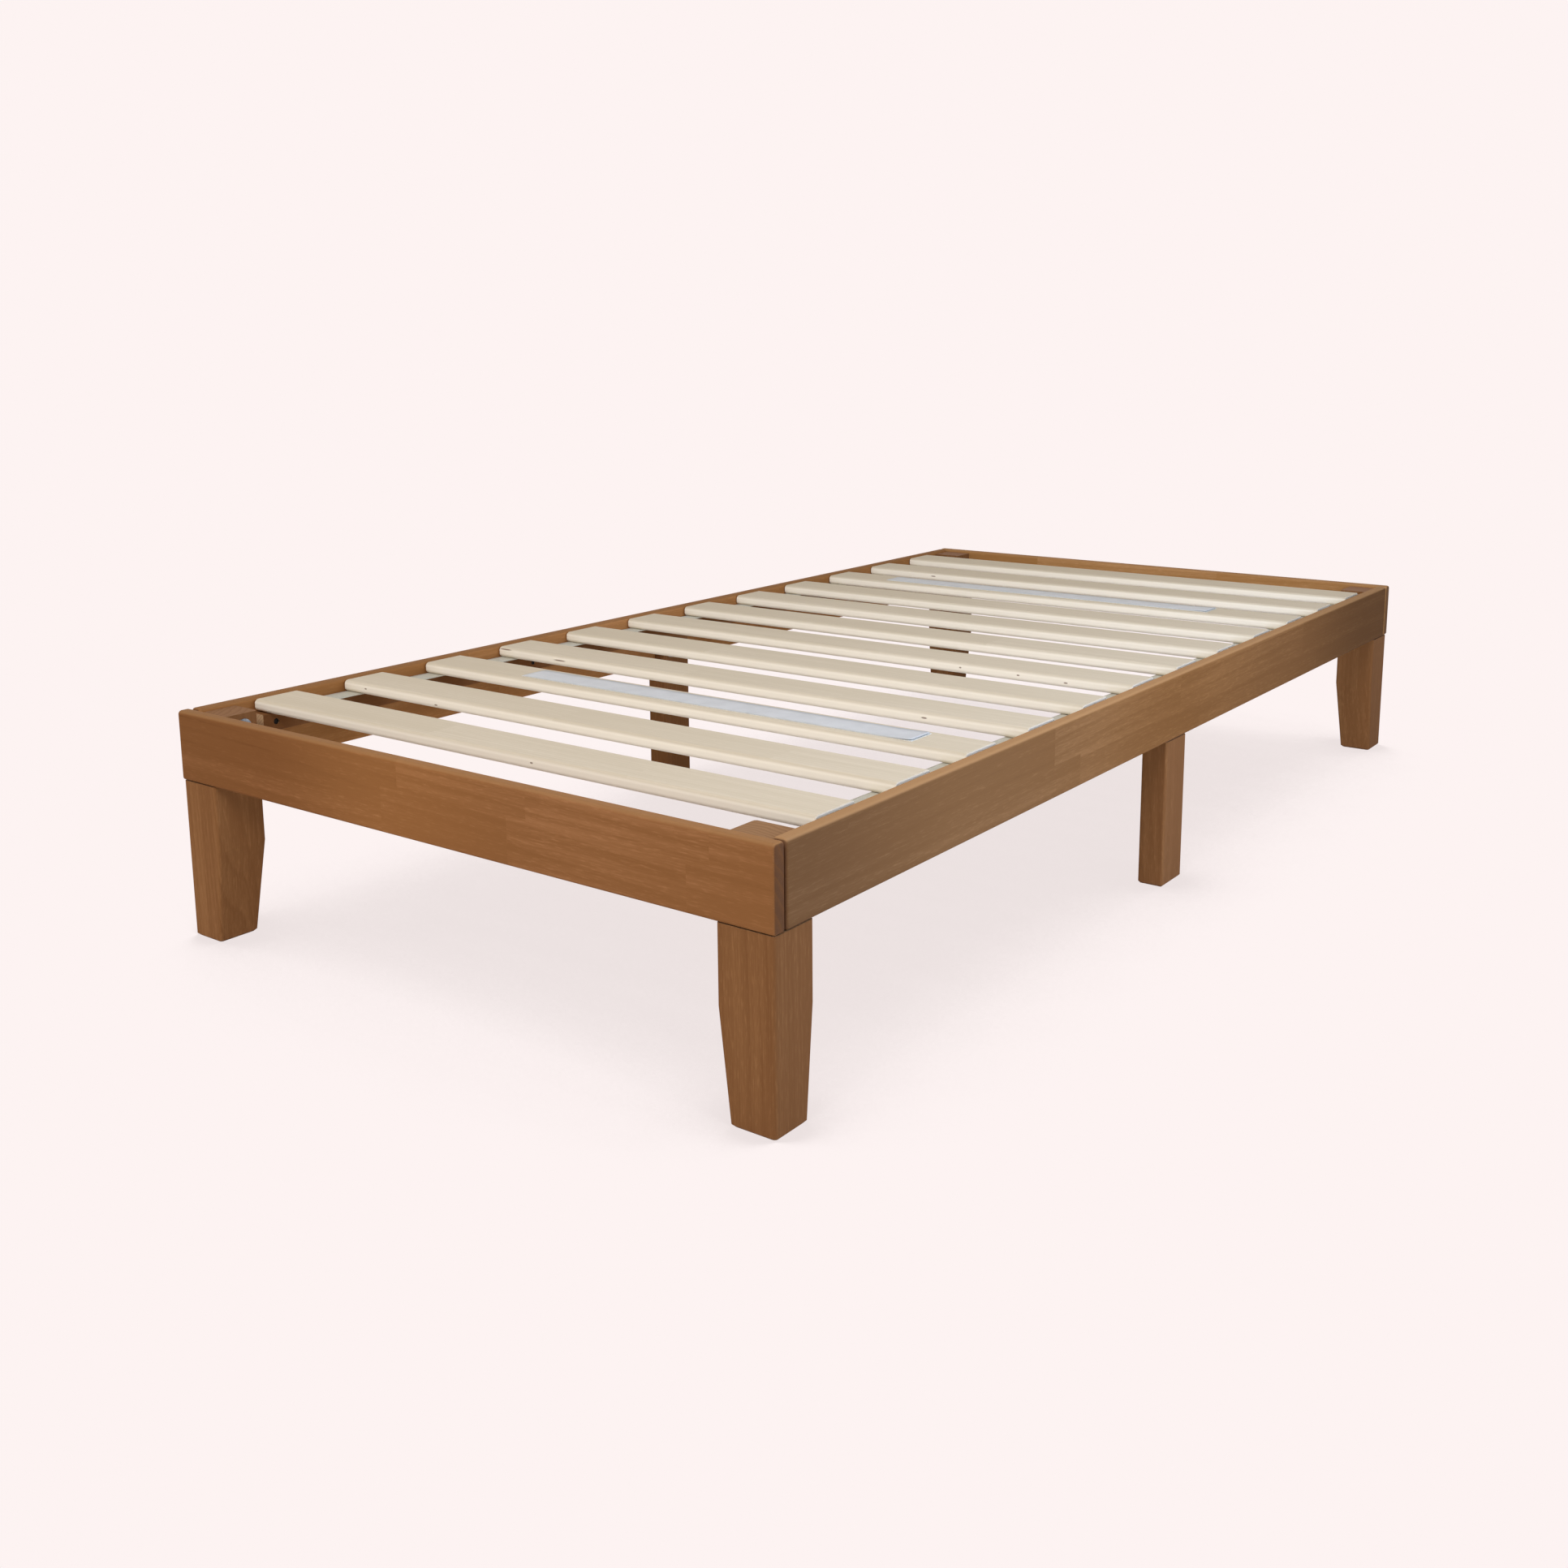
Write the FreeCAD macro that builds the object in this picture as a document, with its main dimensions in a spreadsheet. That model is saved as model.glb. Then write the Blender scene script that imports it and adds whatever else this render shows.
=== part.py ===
# A low platform bed frame in pine: four rails on six legs, with a deck of slats that lies on two ledgers.
# The frame has X across the bed, Y from the foot to the head and Z up, with the floor at Z = 0.
import FreeCAD
import Part
import Sketcher
import math
import os

Vector = FreeCAD.Vector
Placement = FreeCAD.Placement
Rotation = FreeCAD.Rotation

xAxis = Vector(1, 0, 0)
yAxis = Vector(0, 1, 0)
zAxis = Vector(0, 0, 1)
tolerance = Part.Precision.approximation()
doc = FreeCAD.newDocument("BedFrame")
sheet = doc.addObject("Spreadsheet::Sheet", "Sheet")

# Driving dimensions in millimetres
sizes = {
    "bed_length": 1905,
    "bed_width": 965,
    "bed_height": 305,
    # Rails
    "rail_height": 92,
    "rail_thickness": 18,
    "rail_top_round": 5,
    "rail_edge_round": 3.5,
    "rail_end_gap": 2.5,
    # Corner legs
    "leg_inset": 1.5,
    "leg_width": 65,
    "leg_depth": 72,
    "foot_width": 54,
    "foot_depth": 58,
    "knee_height": 125,
    "shoulder_gap": 1,
    "post_drop": 5,
    "leg_round": 4,
    "foot_bevel": 3,
    # Middle legs
    "mid_leg_width": 65,
    "mid_leg_depth": 38,
    "mid_leg_shift": 8.5,
    "tongue_gap": 0.5,
    # Ledgers
    "ledger_width": 26,
    "ledger_height": 25,
    "ledger_end_gap": 24,
    "ledger_round": 1.5,
    "ledger_screw_margin": 20,
    # Slat deck
    "slat_width": 72,
    "slat_thickness": 16,
    "slat_edge_round": 6,
    "slat_drop": 2,
    "slat_end_gap": 1.5,
    "deck_play": 6,
    "slat_end_round": 1.5,
    "deck_end_gap": 29,
    "strap_width": 32,
    "strap_thickness": 1.2,
    "strap_margin": 1.5,
    "strap_end_gap": 20,
    "tape_width": 46,
    "tape_length": 650,
    "tape_thickness": 0.8,
    "liner_thickness": 0.3,
    "front_tape_start": 188,
    "back_tape_start": 126,
    # Bolts, washers and threaded inserts
    "bolt_diameter": 7.7,
    "bolt_head_diameter": 17,
    "bolt_head_height": 3.5,
    "bolt_socket_width": 5,
    "bolt_socket_depth": 2.5,
    "bolt_margin": 15,
    "bolt_grip": 11,
    "washer_diameter": 22,
    "washer_thickness": 1.6,
    "insert_diameter": 11,
    "insert_length": 13,
    "insert_bore": 8,
    # Ledger screws
    "screw_diameter": 4.2,
    "screw_head_diameter": 8,
    "screw_head_height": 3,
    "screw_sink": 4,
    "screw_grip": 12,
    # Strap staples
    "staple_crown": 10,
    "staple_leg": 8,
    "staple_wire": 0.6,
    "staple_width": 1.2,
    # Room round a fastener in its hole
    "fit_gap": 0.15,
}

# Counts and shares
slatCount = 12
ledgerScrewCount = 8
tapedSlats = {"front": 3, "back": 10}
# Bolt heights on a rail, as shares of its height: one pair for each of the two faces of a post
firstRowShares = (0.75, 0.29)
secondRowShares = (0.52, 0.14)
# Bolt places across a middle leg, as shares of its width
midBoltShares = (0.27, 0.73)

# Sizes that follow from the driving dimensions
derived = {
    "rail_bottom": "=bed_height - rail_height",
    "side_rail_length": "=bed_length - 2 * (rail_thickness + rail_end_gap)",
    "notch": "=rail_thickness - leg_inset",
    "shoulder_height": "=rail_bottom - shoulder_gap",
    "post_height": "=bed_height - post_drop",
    "post_width": "=leg_width - notch",
    "post_depth": "=leg_depth - notch",
    "post_reach": "=leg_inset + leg_depth",
    "bolt_line": "=leg_width - bolt_margin",
    "end_rail_bolt_line": "=leg_inset + bolt_line",
    "side_rail_bolt_line": "=end_rail_bolt_line - rail_thickness - rail_end_gap",
    "slat_top": "=bed_height - slat_drop",
    "slat_bottom": "=slat_top - slat_thickness",
    "slat_length": "=bed_width - 2 * (rail_thickness + slat_end_gap) - deck_play",
    # The deck lies towards the left rail, so all of its play is at the right.
    "deck_line": "=-deck_play / 2",
    "deck_length": "=bed_length - 2 * (post_reach + deck_end_gap)",
    "strap_length": "=deck_length - 2 * strap_end_gap",
    "slat_pitch": f"=(deck_length - slat_width) / {slatCount - 1}",
    "ledger_top": "=slat_bottom - strap_thickness",
    "ledger_bottom": "=ledger_top - ledger_height",
    "ledger_length": "=bed_length - 2 * (post_reach + ledger_end_gap)",
    "ledger_screw_pitch": f"=(ledger_length - 2 * ledger_screw_margin) / {ledgerScrewCount - 1}",
    "tongue_thickness": "=mid_leg_depth - notch",
    "tongue_height": "=ledger_bottom - tongue_gap",
    "mid_bolt_height": "=(rail_bottom + tongue_height) / 2",
    "bolt_hole": "=bolt_diameter + 2 * fit_gap",
    "insert_hole": "=insert_diameter + 2 * fit_gap",
    "insert_depth": "=insert_length + fit_gap",
    "first_bolt_length": "=washer_thickness + post_width + bolt_grip",
    "second_bolt_length": "=washer_thickness + post_depth + bolt_grip",
    "mid_bolt_length": "=washer_thickness + tongue_thickness + bolt_grip",
    "screw_hole": "=screw_diameter + 2 * fit_gap",
    "screw_head_hole": "=screw_head_diameter + 2 * fit_gap",
    "screw_length": "=ledger_width - screw_sink + screw_grip",
    "screw_depth": "=screw_grip + fit_gap",
    "staple_slot_length": "=staple_crown + 2 * fit_gap",
    "staple_slot_width": "=staple_width + 2 * fit_gap",
    "staple_leg_hole": "=staple_wire + 2 * fit_gap",
    "staple_depth": "=staple_leg - strap_thickness + fit_gap",
}


def fillSheet():
    cells = {alias: str(number) for alias, number in sizes.items()}
    cells.update(derived)
    for row, (alias, content) in enumerate(cells.items(), start=1):
        sheet.set(f"A{row}", alias.replace("_", " "))
        sheet.set(f"B{row}", content)
        sheet.setAlias(f"B{row}", alias)
    doc.recompute()


def size(formula):
    return float(sheet.evalExpression(formula))


# Sketches and features

def originPlane(body, role):
    return next(feature for feature in body.Origin.OriginFeatures if feature.Role == role)


def newSketch(body, name, role):
    sketch = body.newObject("Sketcher::SketchObject", name)
    sketch.AttachmentSupport = [(originPlane(body, role), "")]
    sketch.MapMode = "FlatFace"
    return sketch


def bindPoint(sketch, curve, end, across, up):
    for kind, formula in (("DistanceX", across), ("DistanceY", up)):
        index = sketch.addConstraint(Sketcher.Constraint(kind, -1, 1, curve, end, size(formula)))
        sketch.setExpression(f"Constraints[{index}]", formula)


def addRectangle(sketch, left, right, low, high):
    points = [(left, low), (right, low), (right, high), (left, high)]
    corners = [Vector(size(across), size(up), 0) for across, up in points]
    nextCorners = corners[1:] + corners[:1]
    sides = [sketch.addGeometry(Part.LineSegment(*ends), False) for ends in zip(corners, nextCorners)]
    for side, nextSide, point in zip(sides, sides[1:] + sides[:1], points):
        sketch.addConstraint(Sketcher.Constraint("Coincident", side, 2, nextSide, 1))
        bindPoint(sketch, side, 1, *point)


# Corner radii and arcs run anticlockwise from the corner at the left and low sides.
def addRoundedRectangle(sketch, left, right, low, high, radius):
    centres = [
        (f"{left} + {radius}", f"{low} + {radius}"),
        (f"{right} - {radius}", f"{low} + {radius}"),
        (f"{right} - {radius}", f"{high} - {radius}"),
        (f"{left} + {radius}", f"{high} - {radius}"),
    ]
    arcs = []
    for quarter, (across, up) in enumerate(centres, start=2):
        circle = Part.Circle(Vector(size(across), size(up), 0), zAxis, size(radius))
        arc = Part.ArcOfCircle(circle, quarter * math.pi / 2, (quarter + 1) * math.pi / 2)
        arcs.append(sketch.addGeometry(arc, False))
    for index, arc in enumerate(arcs):
        following = arcs[(index + 1) % len(arcs)]
        side = Part.LineSegment(sketch.getPoint(arc, 2), sketch.getPoint(following, 1))
        line = sketch.addGeometry(side, False)
        sketch.addConstraint(Sketcher.Constraint("Tangent", arc, 2, line, 1))
        sketch.addConstraint(Sketcher.Constraint("Tangent", line, 2, following, 1))
    for arc, (across, up) in zip(arcs, centres):
        bindPoint(sketch, arc, 3, across, up)
        index = sketch.addConstraint(Sketcher.Constraint("Radius", arc, size(radius)))
        sketch.setExpression(f"Constraints[{index}]", radius)


def addCircle(sketch, across, up, diameter):
    centre = Vector(size(across), size(up), 0)
    circle = sketch.addGeometry(Part.Circle(centre, zAxis, size(diameter) / 2), False)
    bindPoint(sketch, circle, 3, across, up)
    index = sketch.addConstraint(Sketcher.Constraint("Diameter", circle, size(diameter)))
    sketch.setExpression(f"Constraints[{index}]", diameter)


def newBody(label):
    body = doc.addObject("PartDesign::Body", label)
    body.Label = label
    return body


def pad(body, name, sketch, length):
    feature = body.newObject("PartDesign::Pad", name)
    feature.Profile = sketch
    feature.setExpression("Length", length)
    doc.recompute()
    return feature


def pocket(body, name, sketch, depth=None, turned=False):
    before = body.Shape.Volume
    feature = body.newObject("PartDesign::Pocket", name)
    feature.Profile = sketch
    feature.Reversed = turned
    if depth is None:
        feature.Type = "ThroughAll"
    else:
        feature.setExpression("Length", depth)
    doc.recompute()
    if not body.Shape.Volume < before:
        raise ValueError(f"{body.Label} {name} cuts nothing")
    return feature


def edgesWhere(feature, test):
    return [f"Edge{index}" for index, edge in enumerate(feature.Shape.Edges, start=1) if test(edge)]


def dress(body, kind, name, base, edges, amount):
    feature = body.newObject(f"PartDesign::{kind}", name)
    feature.Base = (base, edges)
    feature.setExpression("Radius" if kind == "Fillet" else "Size", amount)
    doc.recompute()
    return feature


def bindPlacement(body, angle, across, along, up):
    body.Placement = Placement(Vector(), Rotation(zAxis, angle))
    for axis, formula in (("x", across), ("y", along), ("z", up)):
        body.setExpression(f"Placement.Base.{axis}", formula)


def straight(edge, axis):
    ends = [vertex.Point for vertex in edge.Vertexes]
    if len(ends) != 2:
        return False
    return (ends[1] - ends[0]).cross(axis).Length < tolerance


def liesAt(edge, axis, level):
    box = edge.BoundBox
    low, high = {"x": (box.XMin, box.XMax), "y": (box.YMin, box.YMax), "z": (box.ZMin, box.ZMax)}[axis]
    return abs(low - level) < tolerance and abs(high - level) < tolerance


# A rail lies along its own x, with its outer face at y = 0 and its lower edge at z = 0.
# A side rail also carries a ledger and a middle leg.
def makeRail(label, length, boltLine, midLegPlace=None):
    body = newBody(label)
    profile = newSketch(body, label + "_profile", "YZ_Plane")
    addRectangle(profile, "0", "Sheet.rail_thickness", "0", "Sheet.rail_height")
    board = pad(body, label + "_board", profile, length)
    top = size("rail_height")
    topEdges = edgesWhere(board, lambda edge: straight(edge, xAxis) and liesAt(edge, "z", top))
    rounded = dress(body, "Fillet", label + "_top_round", board, topEdges, "Sheet.rail_top_round")
    far = size(length)
    loose = edgesWhere(
        rounded,
        lambda edge: liesAt(edge, "x", 0) or liesAt(edge, "x", far) or liesAt(edge, "z", 0),
    )
    dress(body, "Fillet", label + "_edge_round", rounded, loose, "Sheet.rail_edge_round")
    # The insert holes start at the inner face and stop short of the outer one.
    holes = newSketch(body, label + "_insert_holes", "XZ_Plane")
    holes.setExpression("AttachmentOffset.Base.z", "-Sheet.rail_thickness")
    for share in secondRowShares:
        addCircle(holes, boltLine, f"Sheet.rail_height * {share}", "Sheet.insert_hole")
    for share in firstRowShares:
        addCircle(holes, f"{length} - {boltLine}", f"Sheet.rail_height * {share}", "Sheet.insert_hole")
    if midLegPlace:
        for share in midBoltShares:
            place = f"{midLegPlace} + Sheet.mid_leg_width * ({share} - 1 / 2)"
            addCircle(holes, place, "Sheet.mid_bolt_height - Sheet.rail_bottom", "Sheet.insert_hole")
    pocket(body, label + "_insert_pockets", holes, "Sheet.insert_depth", turned=True)
    if midLegPlace:
        pilots = newSketch(body, label + "_screw_holes", "XZ_Plane")
        pilots.setExpression("AttachmentOffset.Base.z", "-Sheet.rail_thickness")
        start = f"({length} - Sheet.ledger_length) / 2 + Sheet.ledger_screw_margin"
        level = "Sheet.ledger_bottom + Sheet.ledger_height / 2 - Sheet.rail_bottom"
        for index in range(ledgerScrewCount):
            addCircle(pilots, f"{start} + {index} * Sheet.ledger_screw_pitch", level, "Sheet.screw_hole")
        pocket(body, label + "_screw_pockets", pilots, "Sheet.screw_depth", turned=True)
    return body


def makeRails():
    endRail = ("Sheet.bed_width", "Sheet.end_rail_bolt_line")
    sideRail = ("Sheet.side_rail_length", "Sheet.side_rail_bolt_line")
    middle = "Sheet.side_rail_length / 2"
    foot = makeRail("foot_rail", *endRail)
    bindPlacement(foot, 0, "-Sheet.bed_width / 2", "-Sheet.bed_length / 2", "Sheet.rail_bottom")
    head = makeRail("head_rail", *endRail)
    bindPlacement(head, 180, "Sheet.bed_width / 2", "Sheet.bed_length / 2", "Sheet.rail_bottom")
    left = makeRail("side_rail_left", *sideRail, f"{middle} + Sheet.mid_leg_shift")
    bindPlacement(left, -90, "-Sheet.bed_width / 2", middle, "Sheet.rail_bottom")
    right = makeRail("side_rail_right", *sideRail, f"{middle} - Sheet.mid_leg_shift")
    bindPlacement(right, 90, "Sheet.bed_width / 2", f"-{middle}", "Sheet.rail_bottom")
    return [foot, head, left, right]


# A corner leg has its outer corner at x = y = 0 and its inner faces towards +x and +y. All four are alike, so
# each is turned a quarter against the next, and its deeper side lies across the bed or along it by turns.
def makeCornerLeg(label):
    body = newBody(label)
    bevel = "Sheet.foot_bevel"
    sections = {
        "sole": (bevel, f"Sheet.foot_width - {bevel}", f"Sheet.foot_depth - {bevel}", "0"),
        "foot": ("0", "Sheet.foot_width", "Sheet.foot_depth", bevel),
        "knee": ("0", "Sheet.leg_width", "Sheet.leg_depth", "Sheet.knee_height"),
    }
    outlines = []
    for name, (near, farAcross, farAlong, level) in sections.items():
        outline = newSketch(body, f"{label}_{name}_section", "XY_Plane")
        outline.setExpression("AttachmentOffset.Base.z", level)
        addRoundedRectangle(outline, near, farAcross, near, farAlong, "Sheet.leg_round")
        outlines.append(outline)
    sole, foot, knee = outlines
    taper = body.newObject("PartDesign::AdditiveLoft", label + "_taper")
    taper.Profile = sole
    taper.Sections = [foot, knee]
    taper.Ruled = True
    doc.recompute()
    pad(body, label + "_post", knee, "Sheet.post_height - Sheet.knee_height")
    for role, turned in (("XZ_Plane", False), ("YZ_Plane", True)):
        ledge = newSketch(body, f"{label}_notch_{role}", role)
        addRectangle(ledge, "0", "Sheet.notch", "Sheet.shoulder_height", "Sheet.post_height")
        pocket(body, f"{label}_notch_cut_{role}", ledge, turned=turned)
    rows = (("YZ_Plane", firstRowShares, True), ("XZ_Plane", secondRowShares, False))
    for role, shares, turned in rows:
        holes = newSketch(body, f"{label}_bolt_holes_{role}", role)
        for share in shares:
            level = f"Sheet.rail_bottom + Sheet.rail_height * {share}"
            addCircle(holes, "Sheet.bolt_line", level, "Sheet.bolt_hole")
        pocket(body, f"{label}_bolt_cut_{role}", holes, turned=turned)
    return body


def makeCornerLegs():
    corners = {
        "front_left": (0, "-", "-"),
        "front_right": (90, "", "-"),
        "back_right": (180, "", ""),
        "back_left": (270, "-", ""),
    }
    legs = []
    for corner, (angle, acrossSign, alongSign) in corners.items():
        leg = makeCornerLeg("corner_leg_" + corner)
        across = f"{acrossSign}(Sheet.bed_width / 2 - Sheet.leg_inset)"
        along = f"{alongSign}(Sheet.bed_length / 2 - Sheet.leg_inset)"
        bindPlacement(leg, angle, across, along, "0")
        legs.append(leg)
    return legs


# A middle leg has its outer face at x = 0 and is centred on y = 0; its tongue stands against the side rail.
def makeMidLeg(label):
    body = newBody(label)
    section = newSketch(body, label + "_section", "XY_Plane")
    half = "Sheet.mid_leg_width / 2"
    addRoundedRectangle(section, "0", "Sheet.mid_leg_depth", f"-{half}", half, "Sheet.leg_round")
    blank = pad(body, label + "_blank", section, "Sheet.tongue_height")
    under = edgesWhere(blank, lambda edge: liesAt(edge, "z", 0))
    dress(body, "Chamfer", label + "_foot_bevel", blank, under, "Sheet.foot_bevel")
    ledge = newSketch(body, label + "_notch", "YZ_Plane")
    addRectangle(ledge, f"-{half}", half, "Sheet.shoulder_height", "Sheet.tongue_height")
    pocket(body, label + "_notch_cut", ledge, "Sheet.notch", turned=True)
    holes = newSketch(body, label + "_bolt_holes", "YZ_Plane")
    for share in midBoltShares:
        place = f"Sheet.mid_leg_width * ({share} - 1 / 2)"
        addCircle(holes, place, "Sheet.mid_bolt_height", "Sheet.bolt_hole")
    pocket(body, label + "_bolt_cut", holes, turned=True)
    return body


def makeMidLegs():
    left = makeMidLeg("mid_leg_left")
    bindPlacement(left, 0, "-Sheet.bed_width / 2 + Sheet.leg_inset", "-Sheet.mid_leg_shift", "0")
    right = makeMidLeg("mid_leg_right")
    bindPlacement(right, 180, "Sheet.bed_width / 2 - Sheet.leg_inset", "-Sheet.mid_leg_shift", "0")
    return [left, right]


# A ledger lies along its own x, with its back at y = 0 against the side rail and its lower face at z = 0.
def makeLedger(label):
    body = newBody(label)
    profile = newSketch(body, label + "_profile", "YZ_Plane")
    addRectangle(profile, "0", "Sheet.ledger_width", "0", "Sheet.ledger_height")
    batten = pad(body, label + "_batten", profile, "Sheet.ledger_length")
    width = size("ledger_width")
    loose = edgesWhere(batten, lambda edge: straight(edge, xAxis) and liesAt(edge, "y", width))
    dress(body, "Fillet", label + "_round", batten, loose, "Sheet.ledger_round")
    sinks = newSketch(body, label + "_screw_sinks", "XZ_Plane")
    sinks.setExpression("AttachmentOffset.Base.z", "-Sheet.ledger_width")
    holes = newSketch(body, label + "_screw_holes", "XZ_Plane")
    for index in range(ledgerScrewCount):
        place = f"Sheet.ledger_screw_margin + {index} * Sheet.ledger_screw_pitch"
        addCircle(sinks, place, "Sheet.ledger_height / 2", "Sheet.screw_head_hole")
        addCircle(holes, place, "Sheet.ledger_height / 2", "Sheet.screw_hole")
    pocket(body, label + "_screw_sink_cut", sinks, "Sheet.screw_sink", turned=True)
    pocket(body, label + "_screw_cut", holes)
    return body


def makeLedgers():
    left = makeLedger("ledger_left")
    inset = "Sheet.bed_width / 2 - Sheet.rail_thickness"
    bindPlacement(left, -90, f"-({inset})", "Sheet.ledger_length / 2", "Sheet.ledger_bottom")
    right = makeLedger("ledger_right")
    bindPlacement(right, 90, inset, "-Sheet.ledger_length / 2", "Sheet.ledger_bottom")
    return [left, right]


# Middle of a strap, measured across the deck from its centre line
strapLine = "(Sheet.slat_length / 2 - Sheet.strap_margin - Sheet.strap_width / 2)"


def slatPlace(number):
    return f"Sheet.slat_pitch * ({number} - ({slatCount} + 1) / 2)"


# A slat is centred on x and y, with its lower face at z = 0 and well rounded long edges.
def makeSlat(label):
    body = newBody(label)
    profile = newSketch(body, label + "_profile", "YZ_Plane")
    half = "Sheet.slat_width / 2"
    addRoundedRectangle(profile, f"-{half}", half, "0", "Sheet.slat_thickness", "Sheet.slat_edge_round")
    profile.setExpression("AttachmentOffset.Base.z", "-Sheet.slat_length / 2")
    board = pad(body, label + "_board", profile, "Sheet.slat_length")
    end = size("slat_length") / 2
    rim = edgesWhere(board, lambda edge: liesAt(edge, "x", end) or liesAt(edge, "x", -end))
    dress(body, "Fillet", label + "_end_round", board, rim, "Sheet.slat_end_round")
    holes = newSketch(body, label + "_staple_holes", "XY_Plane")
    for side in ("-", ""):
        for lean in ("-", "+"):
            centre = f"{strapLine} {lean} (Sheet.staple_crown - Sheet.staple_wire) / 2"
            left = f"{side}({centre}) - Sheet.staple_leg_hole / 2"
            right = f"{side}({centre}) + Sheet.staple_leg_hole / 2"
            addRectangle(holes, left, right, "-Sheet.staple_slot_width / 2", "Sheet.staple_slot_width / 2")
    pocket(body, label + "_staple_cut", holes, "Sheet.staple_depth", turned=True)
    return body


def makeSlats():
    slats = []
    for number in range(1, slatCount + 1):
        slat = makeSlat(f"slat_{number:02d}")
        bindPlacement(slat, 0, "Sheet.deck_line", slatPlace(number), "Sheet.slat_bottom")
        slats.append(slat)
    return slats


# A strap is centred on x and y, with its lower face at z = 0, where the staple crowns are pressed in.
def makeStrap(label):
    body = newBody(label)
    outline = newSketch(body, label + "_outline", "XY_Plane")
    half = "Sheet.strap_width / 2"
    addRectangle(outline, f"-{half}", half, "-Sheet.strap_length / 2", "Sheet.strap_length / 2")
    pad(body, label + "_web", outline, "Sheet.strap_thickness")
    crowns = newSketch(body, label + "_crown_slots", "XY_Plane")
    holes = newSketch(body, label + "_leg_holes", "XY_Plane")
    legLine = "(Sheet.staple_crown - Sheet.staple_wire) / 2"
    for number in range(1, slatCount + 1):
        low = f"{slatPlace(number)} - Sheet.staple_slot_width / 2"
        high = f"{slatPlace(number)} + Sheet.staple_slot_width / 2"
        addRectangle(crowns, "-Sheet.staple_slot_length / 2", "Sheet.staple_slot_length / 2", low, high)
        for side in ("-", ""):
            left = f"{side}{legLine} - Sheet.staple_leg_hole / 2"
            right = f"{side}{legLine} + Sheet.staple_leg_hole / 2"
            addRectangle(holes, left, right, low, high)
    pocket(body, label + "_crown_cut", crowns, "Sheet.staple_wire", turned=True)
    pocket(body, label + "_leg_cut", holes, turned=True)
    return body


def makeStraps():
    left = makeStrap("slat_strap_left")
    bindPlacement(left, 0, "Sheet.deck_line - " + strapLine, "0", "Sheet.ledger_top")
    right = makeStrap("slat_strap_right")
    bindPlacement(right, 0, "Sheet.deck_line + " + strapLine, "0", "Sheet.ledger_top")
    return [left, right]


# A strip starts at x = 0 and is centred on y; the tape lies on its slat and the liner on the tape.
def makeStrip(label, thickness):
    body = newBody(label)
    outline = newSketch(body, label + "_outline", "XY_Plane")
    half = "Sheet.tape_width / 2"
    addRectangle(outline, "0", "Sheet.tape_length", f"-{half}", half)
    pad(body, label + "_strip", outline, thickness)
    return body


def makeTapes():
    strips = []
    for end, number in tapedSlats.items():
        start = f"Sheet.deck_line - Sheet.slat_length / 2 + Sheet.{end}_tape_start"
        tape = makeStrip("grip_tape_" + end, "Sheet.tape_thickness")
        bindPlacement(tape, 0, start, slatPlace(number), "Sheet.slat_top")
        liner = makeStrip("tape_liner_" + end, "Sheet.liner_thickness")
        bindPlacement(liner, 0, start, slatPlace(number), "Sheet.slat_top + Sheet.tape_thickness")
        strips += [tape, liner]
    return strips


# Fasteners point along +z into the wood, with the face that they sit on at z = 0.

def cylinder(name, diameter, height, base):
    solid = doc.addObject("Part::Cylinder", name)
    solid.setExpression("Radius", f"({diameter}) / 2")
    solid.setExpression("Height", height)
    solid.setExpression("Placement.Base.z", base)
    return solid


def boolean(kind, name, base, tool):
    feature = doc.addObject(f"Part::{kind}", name)
    feature.Base = base
    feature.Tool = tool
    return feature


def makeBolt(name, length):
    under = "-Sheet.washer_thickness"
    top = f"{under} - Sheet.bolt_head_height"
    head = cylinder(name + "_head", "Sheet.bolt_head_diameter", "Sheet.bolt_head_height", top)
    shank = cylinder(name + "_shank", "Sheet.bolt_diameter", length, under)
    bolt = boolean("Fuse", name + "_blank", head, shank)
    socket = doc.addObject("Part::Prism", name + "_socket")
    socket.Polygon = 6
    socket.setExpression("Circumradius", "Sheet.bolt_socket_width / sqrt(3)")
    socket.setExpression("Height", "Sheet.bolt_socket_depth")
    socket.setExpression("Placement.Base.z", top)
    return boolean("Cut", name, bolt, socket)


def makeWasher(name):
    thickness = "Sheet.washer_thickness"
    disc = cylinder(name + "_disc", "Sheet.washer_diameter", thickness, f"-{thickness}")
    hole = cylinder(name + "_hole", "Sheet.bolt_hole", thickness, f"-{thickness}")
    return boolean("Cut", name, disc, hole)


def makeInsert(name, start):
    barrel = cylinder(name + "_barrel", "Sheet.insert_diameter", "Sheet.insert_length", start)
    bore = cylinder(name + "_bore", "Sheet.insert_bore", "Sheet.insert_length", start)
    return boolean("Cut", name, barrel, bore)


def makeScrew(name):
    under = "Sheet.screw_sink"
    top = f"{under} - Sheet.screw_head_height"
    head = cylinder(name + "_head", "Sheet.screw_head_diameter", "Sheet.screw_head_height", top)
    shank = cylinder(name + "_shank", "Sheet.screw_diameter", "Sheet.screw_length", under)
    return boolean("Fuse", name, head, shank)


# A staple has its crown along x at z = 0 and its legs along +z.
def makeStaple(name):
    blocks = []
    for suffix, length, base in (
        ("_blank", "Sheet.staple_crown", "0"),
        ("_gap", "Sheet.staple_crown - 2 * Sheet.staple_wire", "Sheet.staple_wire"),
    ):
        block = doc.addObject("Part::Box", name + suffix)
        block.setExpression("Length", length)
        block.setExpression("Width", "Sheet.staple_width")
        block.setExpression("Height", f"Sheet.staple_leg - {base}")
        block.setExpression("Placement.Base.x", f"-({length}) / 2")
        block.setExpression("Placement.Base.y", "-Sheet.staple_width / 2")
        block.setExpression("Placement.Base.z", base)
        blocks.append(block)
    return boolean("Cut", name, *blocks)


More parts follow.
